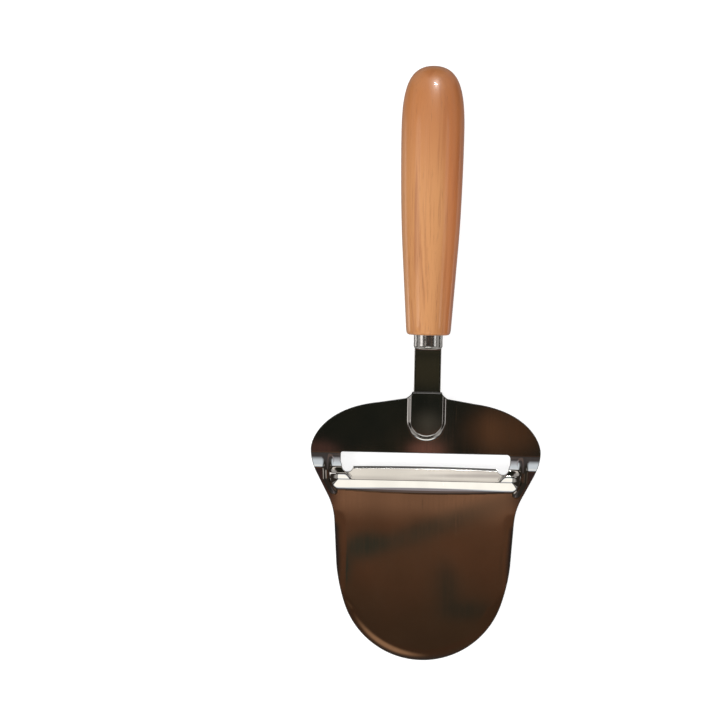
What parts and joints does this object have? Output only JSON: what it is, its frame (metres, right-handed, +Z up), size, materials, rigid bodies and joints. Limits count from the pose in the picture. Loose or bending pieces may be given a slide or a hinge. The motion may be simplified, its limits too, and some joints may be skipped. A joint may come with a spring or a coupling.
{
  "type": "cheese slicer",
  "caption": "Cheese slicer: round-tipped pressed steel plate with a raised cutting lip and a wide slot, flat steel neck, ferrule and turned wooden handle.",
  "frame": {"origin": "middle of the length and width, level with the lowest line of the handle", "axes": "X across the plate, +Y from the plate towards the handle, +Z up from the side the cheese slides over; the plate is level"},
  "size_m": [0.0896, 0.2314, 0.025],
  "materials": {
    "varnished_wood": "gloss",
    "polished_steel": "polished",
    "epoxy": "satin",
    "weld_metal": "satin"
  },
  "bodies": {
    "root": {"handle": "varnished_wood", "ferrule": "polished_steel", "shank": "polished_steel", "blade": "polished_steel", "tang_adhesive": "epoxy", "spot_welds": "weld_metal"}
  },
  "joints": []
}
